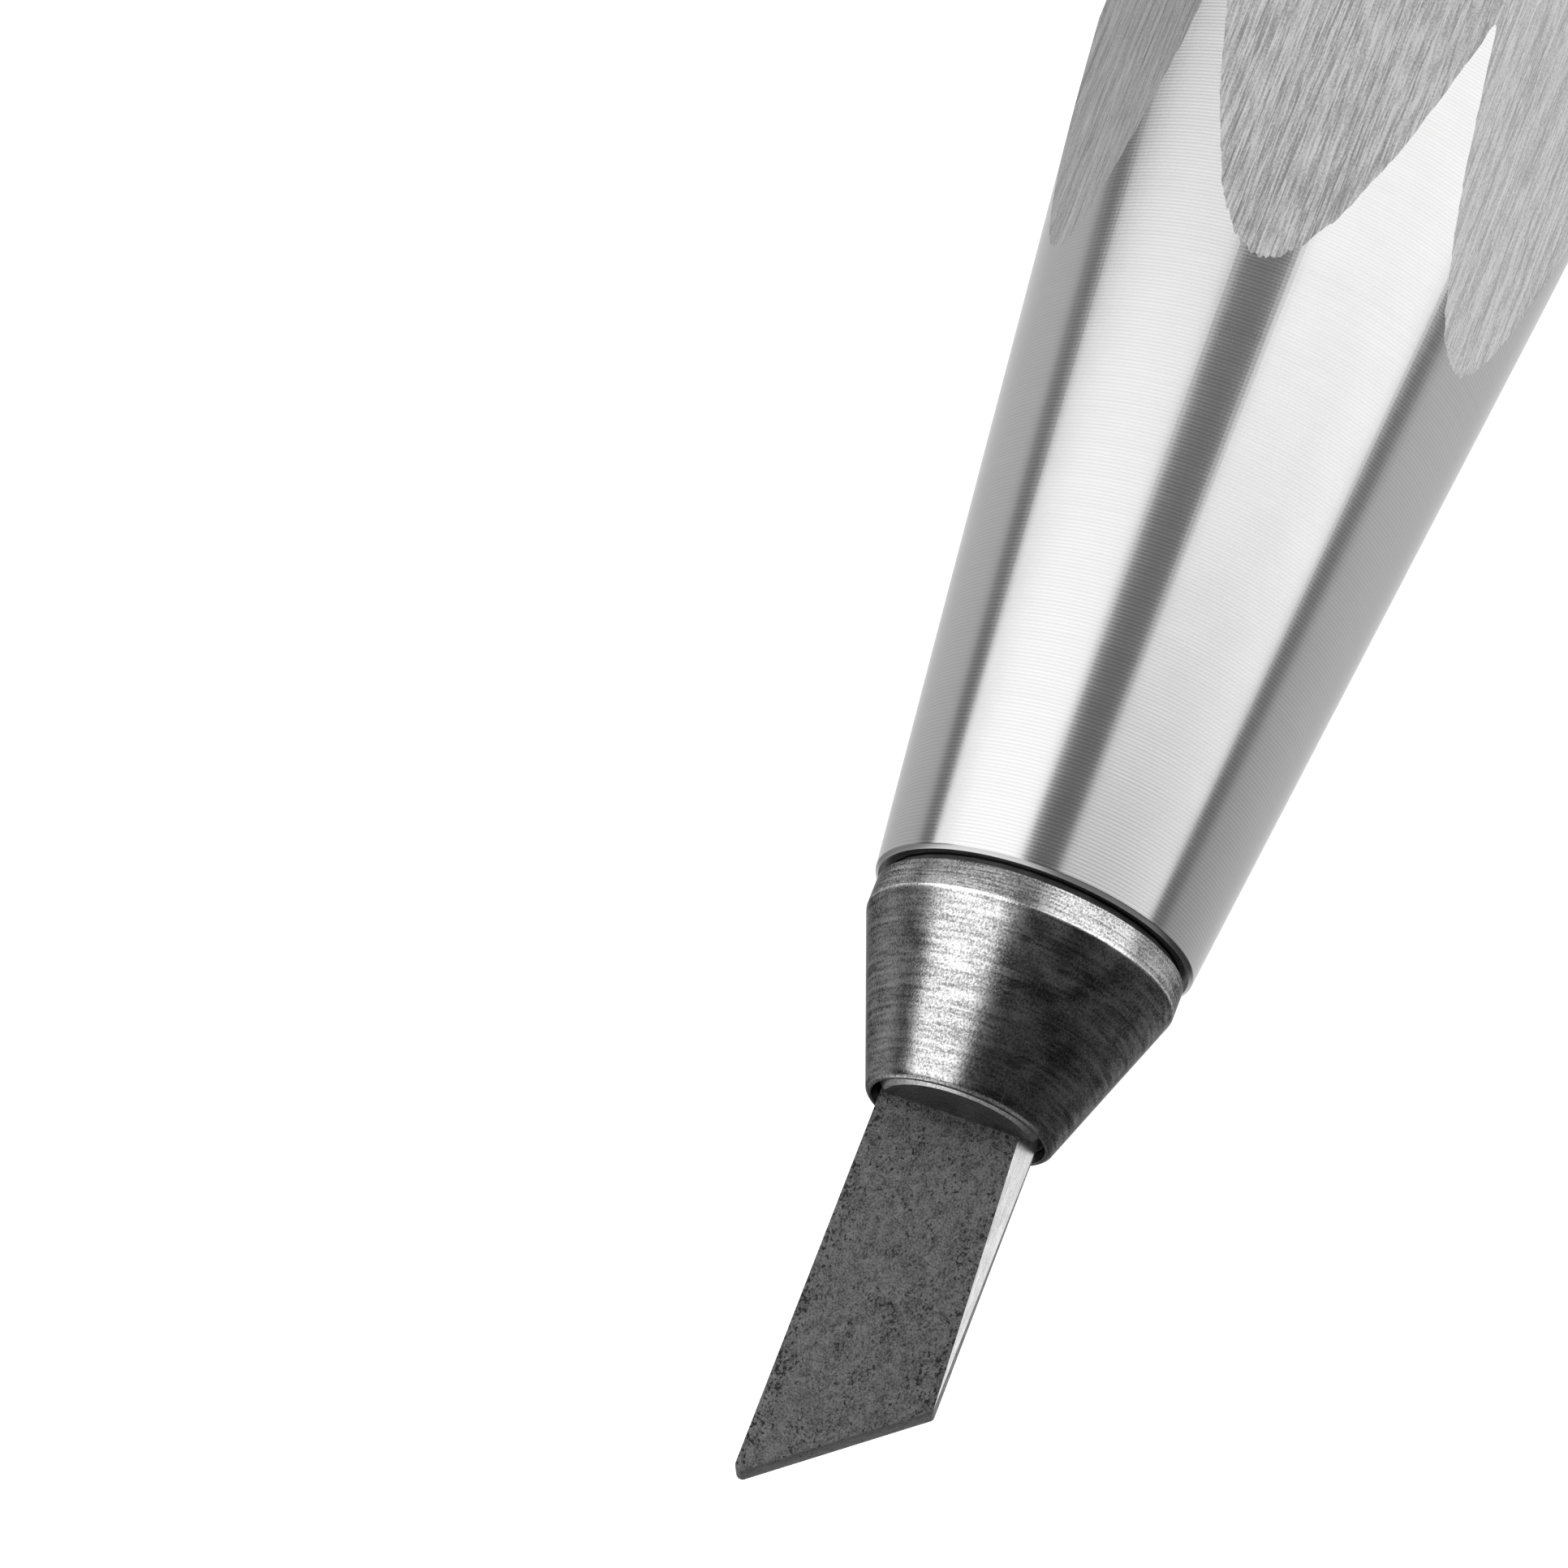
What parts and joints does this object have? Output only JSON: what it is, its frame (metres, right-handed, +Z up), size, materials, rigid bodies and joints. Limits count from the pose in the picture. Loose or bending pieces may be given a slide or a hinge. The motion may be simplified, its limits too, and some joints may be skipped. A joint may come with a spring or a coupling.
{
  "type": "deburring tool",
  "caption": "Pen-type deburring tool: hexagonal handle with a turned cone, a steel nose, and a push-button clutch whose jaws grip a flat slant-ended blade.",
  "frame": {"origin": "middle of the tool's length, under its axis, on the plane of the lower flat that it lies on", "axes": "+X along the axis towards the blade's tip, +Z up out of the handle's top flat, which the blade's face is parallel to"},
  "size_m": [0.1462, 0.0184, 0.016],
  "materials": {
    "handle_aluminium": "fine-turned cone, linishing marks along the hexagon's flats",
    "nose_steel": "dark ground steel with turning scratches",
    "jaw_steel": "dark ground steel",
    "blade_steel": "matt dark hardened face, fine pits, one bright ground relief",
    "tool_steel": "turned steel",
    "bright_steel": "bright turned steel",
    "button_steel": "satin turned steel",
    "spring_steel": "drawn spring wire",
    "bronze": "turned bearing bronze",
    "rubber": "black matt rubber"
  },
  "bodies": {
    "handle": {"handle_body": "handle_aluminium", "nose_cap": "nose_steel", "nose_seal": "rubber", "front_bush": "bronze", "key_pin": "tool_steel", "spring_washer": "bright_steel", "return_spring": "spring_steel", "rear_ferrule": "bright_steel", "ferrule_gasket": "rubber", "rear_bush": "bronze"},
    "clutch": {"jaw_carrier": "tool_steel", "upper_pivot_pin": "bright_steel", "lower_pivot_pin": "bright_steel", "jaw_ring": "rubber", "draw_tube": "tool_steel", "spring_collar": "bronze", "collar_circlip": "spring_steel", "lock_nut": "bright_steel", "push_button": "button_steel", "button_o_ring": "rubber"},
    "upper_jaw": {"upper_jaw": "jaw_steel"},
    "lower_jaw": {"lower_jaw": "jaw_steel"},
    "blade": {"blade": "blade_steel"}
  },
  "joints": [
    {"name": "clutch_slide", "type": "slide", "parent": "handle", "child": "clutch", "axis": [1, 0, 0], "range_m": [0, 0.003], "stiffness_N_per_m": 1000, "springref_m": -0.012, "deforming": ["return_spring"]},
    {"name": "upper_jaw_swing", "type": "hinge", "parent": "clutch", "child": "upper_jaw", "pos_m": [0.03839, 0, 0.0096], "axis": [0, -1, 0], "range_deg": [0, 0.87]},
    {"name": "lower_jaw_swing", "type": "hinge", "parent": "clutch", "child": "lower_jaw", "pos_m": [0.03839, 0, 0.0064], "axis": [0, 1, 0], "range_deg": [0, 0.87]},
    {"name": "blade_slide", "type": "slide", "parent": "clutch", "child": "blade", "axis": [1, 0, 0], "range_m": [-0.0127, 0.006]}
  ],
  "couplings": [
    {"joint": "upper_jaw_swing", "follows": "clutch_slide", "rad_per_m": 5},
    {"joint": "lower_jaw_swing", "follows": "clutch_slide", "rad_per_m": 5}
  ]
}
